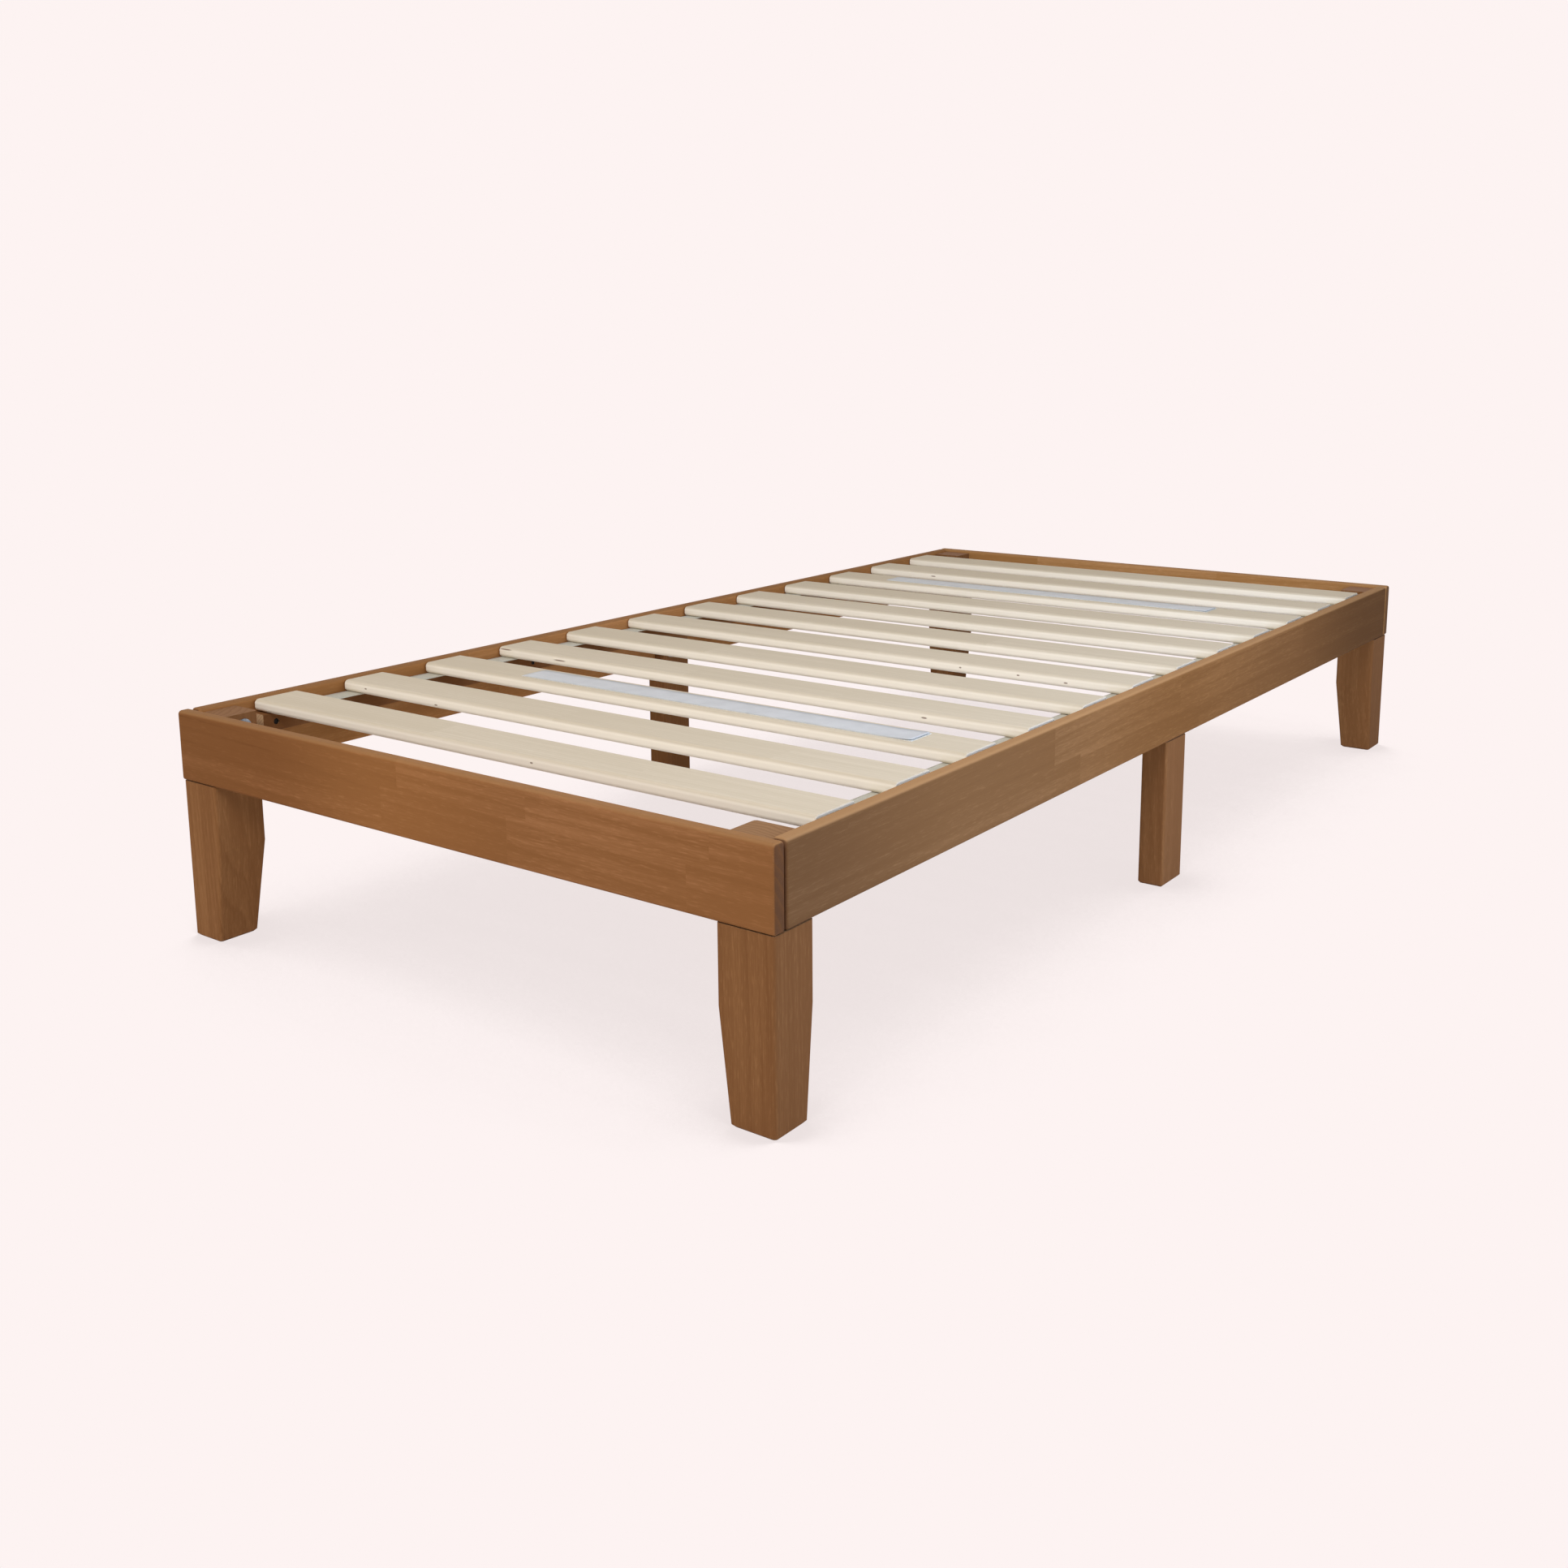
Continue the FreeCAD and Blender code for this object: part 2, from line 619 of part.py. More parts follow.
def facing(point, direction):
    return Placement(point, Rotation(zAxis, direction))


# Each set is a fastener and the places where copies of it go.
def makeGroup(label, *sets):
    doc.recompute()
    copies = []
    for master, places in sets:
        for place in places:
            copy = master.Shape.copy()
            copy.Placement = place.multiply(master.Shape.Placement)
            copies.append(copy)
    group = doc.addObject("Part::Feature", label)
    group.Label = label
    group.Shape = Part.makeCompound(copies)
    return group


def cornerBoltPlaces(legs, across, along, direction, shares):
    places = []
    for leg in legs:
        for share in shares:
            face = Vector(size(across), size(along), size(f"rail_bottom + rail_height * {share}"))
            places.append(leg.Placement.multiply(facing(face, direction)))
    return places


def midBoltPlaces(legs):
    places = []
    for leg in legs:
        for share in midBoltShares:
            across = size(f"mid_leg_width * ({share} - 1 / 2)")
            face = Vector(size("mid_leg_depth"), across, size("mid_bolt_height"))
            places.append(leg.Placement.multiply(facing(face, -xAxis)))
    return places


def makeFasteners(cornerLegs, midLegs, ledgers, slats):
    first = cornerBoltPlaces(cornerLegs, "leg_width", "bolt_line", -xAxis, firstRowShares)
    second = cornerBoltPlaces(cornerLegs, "bolt_line", "leg_depth", -yAxis, secondRowShares)
    middle = midBoltPlaces(midLegs)
    washer = makeWasher("washer")
    firstBolt = makeBolt("first_row_bolt", "Sheet.first_bolt_length")
    secondBolt = makeBolt("second_row_bolt", "Sheet.second_bolt_length")
    firstInsert = makeInsert("first_row_insert", "Sheet.post_width")
    secondInsert = makeInsert("second_row_insert", "Sheet.post_depth")
    groups = [
        makeGroup("corner_bolts", (firstBolt, first), (secondBolt, second)),
        makeGroup("corner_washers", (washer, first + second)),
        makeGroup("corner_insert_nuts", (firstInsert, first), (secondInsert, second)),
        makeGroup("mid_leg_bolts", (makeBolt("mid_leg_bolt", "Sheet.mid_bolt_length"), middle)),
        makeGroup("mid_leg_washers", (washer, middle)),
        makeGroup("mid_leg_insert_nuts", (makeInsert("mid_leg_insert", "Sheet.tongue_thickness"), middle)),
    ]
    screw = makeScrew("ledger_screw")
    staple = makeStaple("strap_staple")
    for ledger, side, sign in zip(ledgers, ("left", "right"), (-1, 1)):
        screws = []
        for index in range(ledgerScrewCount):
            along = size(f"ledger_screw_margin + {index} * ledger_screw_pitch")
            face = Vector(along, size("ledger_width"), size("ledger_height") / 2)
            screws.append(ledger.Placement.multiply(facing(face, -yAxis)))
        groups.append(makeGroup("ledger_screws_" + side, (screw, screws)))
        crownMiddle = Vector(sign * size(strapLine), 0, size("ledger_top - slat_bottom"))
        staples = [slat.Placement.multiply(Placement(crownMiddle, Rotation())) for slat in slats]
        groups.append(makeGroup("strap_staples_" + side, (staple, staples)))
    return groups


def checkDocument(nodes):
    for item in doc.Objects:
        if "Invalid" in item.State or "Error" in item.State:
            raise ValueError(f"{item.Label} did not build")
    for node in nodes:
        if node.Shape.isNull() or not node.Shape.isValid():
            raise ValueError(f"{node.Label} has no valid shape")


def main():
    fillSheet()
    rails = makeRails()
    cornerLegs = makeCornerLegs()
    midLegs = makeMidLegs()
    ledgers = makeLedgers()
    slats = makeSlats()
    straps = makeStraps()
    tapes = makeTapes()
    doc.recompute()
    fasteners = makeFasteners(cornerLegs, midLegs, ledgers, slats)
    doc.recompute()
    nodes = rails + cornerLegs + midLegs + ledgers + slats + straps + tapes + fasteners
    checkDocument(nodes)
    os.makedirs("parts", exist_ok=True)
    for node in nodes:
        node.Shape.exportStep(os.path.join("parts", node.Label + ".step"))
        print(f"{node.Label}: {len(node.Shape.Solids)} solids, {node.Shape.Volume:.0f} mm3")


main()
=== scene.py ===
import math

import bmesh
import bpy
from mathutils import Euler, Matrix, Vector


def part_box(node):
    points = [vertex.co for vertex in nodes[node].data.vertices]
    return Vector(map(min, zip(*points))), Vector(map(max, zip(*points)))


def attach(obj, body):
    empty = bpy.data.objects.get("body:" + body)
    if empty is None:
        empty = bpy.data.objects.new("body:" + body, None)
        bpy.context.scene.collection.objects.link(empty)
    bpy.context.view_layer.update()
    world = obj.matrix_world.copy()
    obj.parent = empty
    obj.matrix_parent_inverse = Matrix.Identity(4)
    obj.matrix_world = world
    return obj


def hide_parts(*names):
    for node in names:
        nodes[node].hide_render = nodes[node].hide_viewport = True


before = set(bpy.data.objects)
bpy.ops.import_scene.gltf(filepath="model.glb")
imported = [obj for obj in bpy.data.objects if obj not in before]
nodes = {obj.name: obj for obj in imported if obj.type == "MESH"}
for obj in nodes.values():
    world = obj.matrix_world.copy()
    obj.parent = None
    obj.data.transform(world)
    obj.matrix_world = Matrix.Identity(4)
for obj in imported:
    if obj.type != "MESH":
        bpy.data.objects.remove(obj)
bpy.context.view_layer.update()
print("frame loaded:", len(nodes), "nodes")


def linear(hexColour):
    shares = [int(hexColour[start:start + 2], 16) / 255 for start in (1, 3, 5)]
    return [s / 12.92 if s <= 0.04045 else ((s + 0.055) / 1.055) ** 2.4 for s in shares] + [1.0]


def addNode(tree, kind, inputs=(), stops=(), **settings):
    node = tree.nodes.new("ShaderNode" + kind)
    for name, value in settings.items():
        setattr(node, name, value)
    for index, (place, colour, steps) in enumerate(stops):
        ramp = node.color_ramp
        ramp.interpolation = steps
        if index == 0:
            ramp.elements.remove(ramp.elements[1])
        stop = ramp.elements[0] if index == 0 else ramp.elements.new(place)
        stop.position = place
        stop.color = linear(colour) if isinstance(colour, str) else colour
    for name, value in dict(inputs).items():
        socket = node.inputs[name]
        if isinstance(value, bpy.types.NodeSocket):
            tree.links.new(value, socket)
        else:
            socket.default_value = linear(value) if isinstance(value, str) else value
    return node


def newMaterial(name):
    material = bpy.data.materials.new(name)
    material.use_nodes = True
    material.node_tree.nodes.clear()
    return material, material.node_tree


def soft(*stops):
    return [(place, colour, "EASE") for place, colour in stops]


def grey(*stops):
    return [(place, (value, value, value, 1), "LINEAR") for place, value in stops]


# How a board is cut from its log, in metres and degrees
woodCut = {
    "turns": {"x": (0, 0, 0), "y": (0, 0, -90), "z": (0, 90, 0)},  # lays the grain along x
    "blockStep": (1.9, 0.11, 0.07),  # each glued block comes from another place in the log
    "wobbleStretch": (0.06, 1, 1),
    "wobbleSize": 0.07,
    "fibreStretch": (0.012, 1, 1),
    "fibreWidth": 0.0015,  # true fibres are finer: drawn as coarse as the render can show
    "bandWidth": 0.011,
    "fleckStretch": (0.11, 1, 1),
    "fleckWidth": 0.0016,
    "toneSize": 0.16,
    "toneStretch": (0.3, 1, 1),
}


# Growth rings, fibres and glued blocks of solid wood, worked out on the piece's own object coordinates
def woodPattern(tree, piece, board):
    low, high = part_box(piece)
    turn = Euler([math.radians(angle) for angle in woodCut["turns"][board["grain"]]])
    middle = (low + high) / 2
    length = max(high - low)
    coords = addNode(tree, "TexCoord")
    along = addNode(tree, "Mapping", {
        "Vector": coords.outputs["Object"],
        "Location": -(turn.to_matrix() @ middle),
        "Rotation": turn,
    })
    axes = addNode(tree, "SeparateXYZ", {"Vector": along.outputs["Vector"]})
    staveLine = board.get("staveLine", 1)  # a board of one stave has its line far above it
    upper = addNode(tree, "Math", {0: axes.outputs["Z"], 1: staveLine}, operation="GREATER_THAN")
    stave = addNode(tree, "Math", {
        0: upper.outputs[0],
        1: board.get("staveStep", 0),
        2: axes.outputs["X"],
    }, operation="MULTIPLY_ADD")
    share = addNode(tree, "MapRange", {
        "Value": stave.outputs[0],
        "From Min": -length / 2,
        "From Max": length / 2,
    })
    blocks = addNode(tree, "ValToRGB", {"Fac": share.outputs["Result"]}, stops=[
        (place, (slot, slot, slot, tone), "CONSTANT") for place, slot, tone in board["blocks"]
    ])
    run = addNode(tree, "MapRange", {
        "Value": axes.outputs["X"],
        "From Min": -length / 2,
        "From Max": length / 2,
    })
    cut = addNode(tree, "VectorMath", {
        0: blocks.outputs["Color"],
        1: woodCut["blockStep"],
        2: along.outputs["Vector"],
    }, operation="MULTIPLY_ADD")
    stretched = addNode(tree, "Mapping", {"Vector": cut.outputs[0], "Scale": woodCut["wobbleStretch"]})
    wobble = addNode(tree, "TexNoise", {
        "Vector": stretched.outputs["Vector"],
        "Scale": 1 / woodCut["wobbleSize"],
        "Detail": 2.0,
    })
    swing = board["wobble"]
    bent = addNode(tree, "VectorMath", {
        0: wobble.outputs["Color"],
        1: (0, swing, swing),
        2: cut.outputs[0],
    }, operation="MULTIPLY_ADD")
    across, deep = board["pith"]
    log = addNode(tree, "Mapping", {
        "Vector": bent.outputs[0],
        "Location": (0, across, deep),
        "Rotation": [math.radians(angle) for angle in (0, *board["lean"])],
    })
    rings = addNode(tree, "TexWave", {
        "Vector": log.outputs["Vector"],
        "Scale": math.tau / 20 / board["ringSpacing"],  # the wave turns once in tau / 20 of its own units
    }, wave_type="RINGS", rings_direction="X", wave_profile="SAW")
    late = addNode(tree, "ValToRGB", {"Fac": rings.outputs["Fac"]}, stops=grey(
        (0, 0.6), (0.10, 0.1), (0.45, 0.14), (0.78, 0.5), (0.93, 1), (1, 0.9)
    ))
    fine = addNode(tree, "Mapping", {"Vector": cut.outputs[0], "Scale": woodCut["fibreStretch"]})
    fibres, bands = [
        addNode(tree, "TexNoise", {
            "Vector": fine.outputs["Vector"],
            "Scale": 1 / woodCut[size],
            "Detail": 2.0,
            "Roughness": 0.6,
        }) for size in ("fibreWidth", "bandWidth")
    ]
    short = addNode(tree, "Mapping", {"Vector": cut.outputs[0], "Scale": woodCut["fleckStretch"]})
    specks = addNode(tree, "TexNoise", {
        "Vector": short.outputs["Vector"],
        "Scale": 1 / woodCut["fleckWidth"],
    })
    flecks = addNode(tree, "MapRange", {"Value": specks.outputs["Fac"], "From Min": 0.52, "From Max": 0.8})
    slow = addNode(tree, "Mapping", {"Vector": cut.outputs[0], "Scale": woodCut["toneStretch"]})
    tone = addNode(tree, "TexNoise", {"Vector": slow.outputs["Vector"], "Scale": 1 / woodCut["toneSize"]})
    grainAxis = {"x": (1, 0, 0), "y": (0, 1, 0), "z": (0, 0, 1)}[board["grain"]]
    facing = addNode(tree, "VectorMath", {0: coords.outputs["Normal"], 1: grainAxis}, operation="DOT_PRODUCT")
    turned = addNode(tree, "Math", {0: facing.outputs["Value"]}, operation="ABSOLUTE")
    endGrain = addNode(tree, "MapRange", {
        "Value": turned.outputs[0],
        "From Min": 0.6,
        "From Max": 0.95,
    }, interpolation_type="SMOOTHSTEP")
    heights = addNode(tree, "SeparateXYZ", {"Vector": coords.outputs["Normal"]})
    upward = addNode(tree, "MapRange", {
        "Value": heights.outputs["Z"],
        "From Min": 0.2,
        "From Max": 0.8,
    }, interpolation_type="SMOOTHSTEP")
    return {
        "place": along.outputs["Vector"],
        "upward": upward.outputs["Result"],
        "late": late.outputs["Color"],
        "fibres": fibres.outputs["Fac"],
        "bands": bands.outputs["Fac"],
        "flecks": flecks.outputs["Result"],
        "tone": tone.outputs["Fac"],
        "block": blocks.outputs["Alpha"],
        "run": run.outputs["Result"],
        "endGrain": endGrain.outputs["Result"],
    }


# One number from 0, dark, to 1, light, out of shares of the wood's patterns
def blendShares(tree, pattern, shares):
    total = shares["start"]
    for name in ("late", "fibres", "bands", "flecks", "tone", "block"):
        total = addNode(tree, "Math", {
            0: pattern[name],
            1: shares[name],
            2: total,
        }, operation="MULTIPLY_ADD").outputs[0]
    return total


# Pine, planed, stained brown and sprayed with satin lacquer: the stain evens out the rings, so the grain is
# soft, and the lacquer gives a low broad sheen. The top faces get a painted tint for the light on them: lighter
# as painted light and sheen, darker as painted shade
stain = {
    "shares": {
        "start": -0.17, "late": -0.10, "fibres": 0.22, "bands": 0.32,
        "flecks": 0.20, "tone": 0.52, "block": 0.50,
    },
    "endShare": 0.75,
    "endRingShare": 0.4,
    # painted light: share of the tint laid on the top faces
    "paintedTopShare": 0.6,
    "even": [(0, "#FFFFFF")],  # drift of a board that is the same all along
    "roughness": (0.50, 0.64),
    "grainDepth": 0.0001,
    "ior": 1.5,
    "specular": 0.02,  # the thin lacquer lies in the pores, so it mirrors far less than a full film
}


def stainedPine(piece, board):
    material, tree = newMaterial("stained pine " + piece)
    pattern = woodPattern(tree, piece, board)
    level = blendShares(tree, pattern, stain["shares"])
    dark, middle, light = board["colours"]
    colour = addNode(tree, "ValToRGB", {"Fac": level}, stops=soft((0.08, dark), (0.5, middle), (0.92, light)))
    # end-grain tint: on the legs and ledgers it is lightened as painted light
    ringed = addNode(tree, "Math", {0: pattern["late"], 1: stain["endRingShare"]}, operation="MULTIPLY")
    endWood = addNode(tree, "Mix", {0: ringed.outputs[0], 6: board["endGrainAndLight"], 7: dark}, data_type="RGBA")
    # painted light and shade: a tint along the board, darker where less light reaches it
    paintedLightAlong = addNode(tree, "ValToRGB", {"Fac": pattern["run"]}, stops=soft(*board.get("paintedLightAlong", stain["even"])))
    shown = addNode(tree, "Mix", {
        0: 1.0,
        6: colour.outputs["Color"],
        7: paintedLightAlong.outputs["Color"],
    }, data_type="RGBA", blend_type="MULTIPLY").outputs[2]
    # painted light on the top faces, a lighter or a darker tint, then the end-grain tint
    for mask, share, tint in (
        ("upward", stain["paintedTopShare"] if "paintedTopTint" in board else 0, board.get("paintedTopTint", light)),
        ("endGrain", stain["endShare"], endWood.outputs[2]),
    ):
        part = addNode(tree, "Math", {0: pattern[mask], 1: share}, operation="MULTIPLY")
        shown = addNode(tree, "Mix", {0: part.outputs[0], 6: shown, 7: tint}, data_type="RGBA").outputs[2]
    low, high = stain["roughness"]
    roughness = addNode(tree, "MapRange", {"Value": pattern["fibres"], "To Min": high, "To Max": low})
    bump = addNode(tree, "Bump", {
        "Height": level,
        "Strength": 0.5,
        "Distance": stain["grainDepth"],
    })
    surface = addNode(tree, "BsdfPrincipled", {
        "Base Color": shown,
        "Roughness": roughness.outputs["Result"],
        "IOR": stain["ior"],
        "Specular IOR Level": stain["specular"],
        "Normal": bump.outputs["Normal"],
    })
    addNode(tree, "OutputMaterial", {"Surface": surface.outputs["BSDF"]})
    return material


# Boards of the frame: colours from dark to light, glued blocks as (start share, place in the log, tone),
# pith as the distance from the board to the middle of its log, and a tint along the board as painted light and
# shade: darker and cooler where less light reaches it
warm = ("#754926", "#906037", "#AB774C")
olive = ("#66452A", "#7E5A36", "#967049")
ruddy = ("#5E3B20", "#774F2F", "#8F6540")
russet = ("#643F23", "#7E5432", "#976B44")
honey = ("#7E532A", "#9B693B", "#B68050")
pale = ("#80572B", "#9D7041", "#B6895B")
boards = {
    "foot_rail": {
        "grain": "x", "colours": warm, "endGrainAndLight": "#4B3427", "paintedTopTint": "#9E764E",
        "pith": (0.05, 0.02), "lean": (-1, 0.8), "ringSpacing": 0.011, "wobble": 0.03,
        "staveLine": 0.01, "staveStep": -0.03,
        "blocks": [(0, 0.1, 0.40), (0.407, 0.62, 0.52), (0.624, 0.35, 0.47), (0.883, 0.85, 0.50)],
        # painted shade: darker towards both ends, most at the left end, cool towards the right end
        "paintedLightAlong": [(0, "#E2DFE1"), (0.17, "#E1DCDC"), (0.42, "#FFFFFF"), (0.7, "#EDEDF2"), (1, "#EDEDF2")],
    },
    "head_rail": {
        "grain": "x", "colours": pale, "endGrainAndLight": "#503729", "paintedTopTint": "#A97F57",
        "pith": (-0.06, 0.03), "lean": (2, 1), "ringSpacing": 0.009, "wobble": 0.03,
        "staveLine": 0.0, "staveStep": 0.05,
        "blocks": [(0, 0.3, 0.5), (0.3, 0.72, 0.6), (0.71, 0.15, 0.42)],
    },
    "side_rail_left": {
        # painted shade: the darker tint on this rail's top faces
        "grain": "y", "colours": honey, "endGrainAndLight": "#6A4A36", "paintedTopTint": "#85603F",
        "pith": (0.07, 0.03), "lean": (1.5, 1), "ringSpacing": 0.009, "wobble": 0.03,
        "staveLine": 0.005, "staveStep": 0.06,
        "blocks": [(0, 0.2, 0.5), (0.28, 0.55, 0.6), (0.55, 0.8, 0.45), (0.82, 0.4, 0.55)],
    },
    "side_rail_right": {
        "grain": "y", "colours": olive, "endGrainAndLight": "#6A4A36", "paintedTopTint": "#BE9265",
        "pith": (0.06, 0.05), "lean": (2, 0.6), "ringSpacing": 0.012, "wobble": 0.035,
        "staveLine": -0.004, "staveStep": 0.07,
        "blocks": [(0, 0.15, 0.42), (0.33, 0.6, 0.52), (0.535, 0.38, 0.50), (0.8, 0.9, 0.48)],
        # painted light and shade: cool near the foot end, darker towards the head end
        "paintedLightAlong": [(0, "#E0DFEC"), (0.18, "#F7F6FF"), (0.5, "#F0E1D1"), (0.72, "#F0E4DB"), (0.93, "#CCC1B7")],
    },
    # the legs' end tint is lighter than their sides: painted light and sheen on the post tops
    "corner_leg_front_left": {
        "grain": "z", "colours": russet, "endGrainAndLight": "#8F6A4B",
        "pith": (0.03, -0.06), "lean": (4, -3), "ringSpacing": 0.008, "wobble": 0.03,
        "blocks": [(0, 0.5, 0.5)],
    },
    "corner_leg_front_right": {
        "grain": "z", "colours": ruddy, "endGrainAndLight": "#9B7755",
        "pith": (0.07, -0.04), "lean": (1, 1), "ringSpacing": 0.006, "wobble": 0.02,
        "blocks": [(0, 0.25, 0.55)],
    },
    "corner_leg_back_right": {
        "grain": "z", "colours": russet, "endGrainAndLight": "#9A755B",
        "pith": (-0.05, 0.06), "lean": (3, 2), "ringSpacing": 0.006, "wobble": 0.03,
        "blocks": [(0, 0.7, 0.5)],
    },
    "corner_leg_back_left": {
        "grain": "z", "colours": ruddy, "endGrainAndLight": "#9A755B",
        "pith": (-0.04, -0.05), "lean": (2, 2), "ringSpacing": 0.006, "wobble": 0.02,
        "blocks": [(0, 0.9, 0.5)],
    },
    "mid_leg_left": {
        "grain": "z", "colours": ruddy, "endGrainAndLight": "#8A664C",
        "pith": (0.05, 0.04), "lean": (2, 1), "ringSpacing": 0.005, "wobble": 0.02,
        "blocks": [(0, 0.33, 0.45)],
    },
    "mid_leg_right": {
        "grain": "z", "colours": ruddy, "endGrainAndLight": "#8A664C",
        "pith": (0.06, -0.03), "lean": (1, 2), "ringSpacing": 0.005, "wobble": 0.02,
        "blocks": [(0, 0.12, 0.5)],
    },
    # the ledgers' pale end tint is painted light on ends that sit in shade
    "ledger_left": {
        "grain": "y", "colours": ruddy, "endGrainAndLight": "#DDB88C",
        "pith": (0.05, 0.05), "lean": (1, 1), "ringSpacing": 0.004, "wobble": 0.02,
        "blocks": [(0, 0.44, 0.4)],
    },
    "ledger_right": {
        "grain": "y", "colours": ruddy, "endGrainAndLight": "#DDB88C",
        "pith": (0.04, 0.06), "lean": (1, 1), "ringSpacing": 0.004, "wobble": 0.02,
        "blocks": [(0, 0.66, 0.4)],
    },
}
for piece, board in boards.items():
    nodes[piece].data.materials.clear()
    nodes[piece].data.materials.append(stainedPine(piece, board))
print("stained boards:", len(boards))


# Pine, planed and left bare: pale, matt and fine in the grain, with thin brown resin streaks at the rounded
# edges.
# Every face that does not face up gets a painted highlight, a lighter colour for the light on the rounded noses
slatWood = {
    "shares": {
        "start": 0.0, "late": -0.12, "fibres": 0.34, "bands": 0.30,
        "flecks": 0.12, "tone": 0.26, "block": 0.34,
    },
    "colours": ("#BFAF94", "#CDBFA7", "#DBCEB9"),
    # painted highlight: the lighter colour on every face that does not face up, and its share
    "paintedHighlightColour": "#F3E9D6",
    "paintedHighlightShare": 1.0,
    "streakColour": "#73523B",
    "streakShare": 0.8,
    "streakWidth": 0.0028,
    "ringSpacing": 0.005,
    "roughness": (0.50, 0.64),
    "grainDepth": 0.00008,
    "ior": 1.45,
    "specular": 0.08,
    "pith": (0.05, 0.035),
    "lean": (1.2, 0.8),
    "wobble": 0.025,
}
# Per slat: glued blocks as for the rails, and streaks as a place, from the middle of the slat, and a length
slats = {
    1: {"blocks": [(0, 0.11, 0.5), (0.36, 0.52, 0.62), (0.72, 0.3, 0.48)],
        "streaks": [((0.06, -0.036, 0.001), 0.006)]},
    2: {"blocks": [(0, 0.65, 0.55), (0.44, 0.2, 0.45), (0.81, 0.8, 0.6)],
        "streaks": [((-0.414, -0.036, 0.001), 0.006), ((-0.27, -0.036, -0.003), 0.008)]},
    3: {"blocks": [(0, 0.4, 0.5), (0.5, 0.9, 0.6)], "streaks": []},
    4: {"blocks": [(0, 0.77, 0.6), (0.4, 0.33, 0.5), (0.68, 0.05, 0.55)],
        "streaks": [((-0.446, -0.0352, 0.005), 0.032), ((-0.33, -0.036, 0.001), 0.030),
                    ((0.312, -0.036, 0.001), 0.011)]},
    5: {"blocks": [(0, 0.27, 0.46), (0.31, 0.6, 0.58), (0.77, 0.95, 0.5)], "streaks": []},
    6: {"blocks": [(0, 0.84, 0.54), (0.55, 0.48, 0.62)],
        "streaks": [((0.19, -0.036, 0.001), 0.005), ((0.285, -0.036, 0.001), 0.006),
                    ((0.36, -0.036, -0.001), 0.008)]},
    7: {"blocks": [(0, 0.15, 0.5), (0.4, 0.7, 0.45), (0.66, 0.35, 0.58)], "streaks": []},
    8: {"blocks": [(0, 0.58, 0.6), (0.47, 0.02, 0.5)], "streaks": []},
    9: {"blocks": [(0, 0.92, 0.48), (0.34, 0.42, 0.56), (0.7, 0.18, 0.6)], "streaks": []},
    10: {"blocks": [(0, 0.36, 0.55), (0.6, 0.74, 0.47)], "streaks": []},
    11: {"blocks": [(0, 0.69, 0.5), (0.42, 0.1, 0.6)], "streaks": [((-0.31, -0.036, 0.001), 0.014)]},
    12: {"blocks": [(0, 0.22, 0.58), (0.53, 0.86, 0.5)], "streaks": []},
}


def palePine(piece, slat):
    material, tree = newMaterial("planed pale pine " + piece)
    pattern = woodPattern(tree, piece, {"grain": "x", **slatWood, **slat})
    level = blendShares(tree, pattern, slatWood["shares"])
    dark, middle, light = slatWood["colours"]
    colour = addNode(tree, "ValToRGB", {"Fac": level}, stops=soft((0.08, dark), (0.5, middle), (0.92, light)))
    # painted highlight on every face that does not face up
    side = addNode(tree, "Math", {
        0: pattern["upward"],
        1: -slatWood["paintedHighlightShare"],
        2: slatWood["paintedHighlightShare"],
    }, operation="MULTIPLY_ADD")
    shown = addNode(tree, "Mix", {
        0: side.outputs[0],
        6: colour.outputs["Color"],
        7: slatWood["paintedHighlightColour"],
    }, data_type="RGBA").outputs[2]
    for place, length in slat["streaks"]:
        stretch = Vector((2 / length, 2 / slatWood["streakWidth"], 2 / slatWood["streakWidth"]))
        spot = addNode(tree, "Mapping", {
            "Vector": pattern["place"],
            "Location": -Vector(place) * stretch,
            "Scale": stretch,
        })
        ball = addNode(tree, "TexGradient", {"Vector": spot.outputs["Vector"]}, gradient_type="SPHERICAL")
        streak = addNode(tree, "MapRange", {
            "Value": ball.outputs["Fac"],
            "From Max": 0.5,
            "To Max": slatWood["streakShare"],
        }, interpolation_type="SMOOTHSTEP")
        shown = addNode(tree, "Mix", {
            0: streak.outputs["Result"],
            6: shown,
            7: slatWood["streakColour"],
        }, data_type="RGBA").outputs[2]
    low, high = slatWood["roughness"]
    roughness = addNode(tree, "MapRange", {"Value": pattern["fibres"], "To Min": high, "To Max": low})
    bump = addNode(tree, "Bump", {"Height": level, "Strength": 0.5, "Distance": slatWood["grainDepth"]})
    surface = addNode(tree, "BsdfPrincipled", {
        "Base Color": shown,
        "Roughness": roughness.outputs["Result"],
        "IOR": slatWood["ior"],
        "Specular IOR Level": slatWood["specular"],
        "Normal": bump.outputs["Normal"],
    })
    addNode(tree, "OutputMaterial", {"Surface": surface.outputs["BSDF"]})
    return material


for number, slat in slats.items():
    piece = f"slat_{number:02d}"
    nodes[piece].data.materials.clear()
    nodes[piece].data.materials.append(palePine(piece, slat))
print("pale slats:", len(slats))


# Polypropylene webbing, woven flat: ribs across the strap, matt with a faint thread sheen; its bound edge is not
# drawn
webbing = {
    "colours": ("#A09A86", "#C9C3B0"),
    "ribSpacing": 0.0024,  # true ribs are near 1 mm: drawn as coarse as the render can show
    "threadSpacing": 0.0017,
    "fuzzSize": 0.00625,
    "fuzzShare": 0.5,
    "roughness": 0.8,
    "sheen": 0.25,
    "ribDepth": 0.0003,
    "lift": 0.0007,  # slack between two slats
    "stepsAcross": 6,
    "stepsAlong": 330,
}


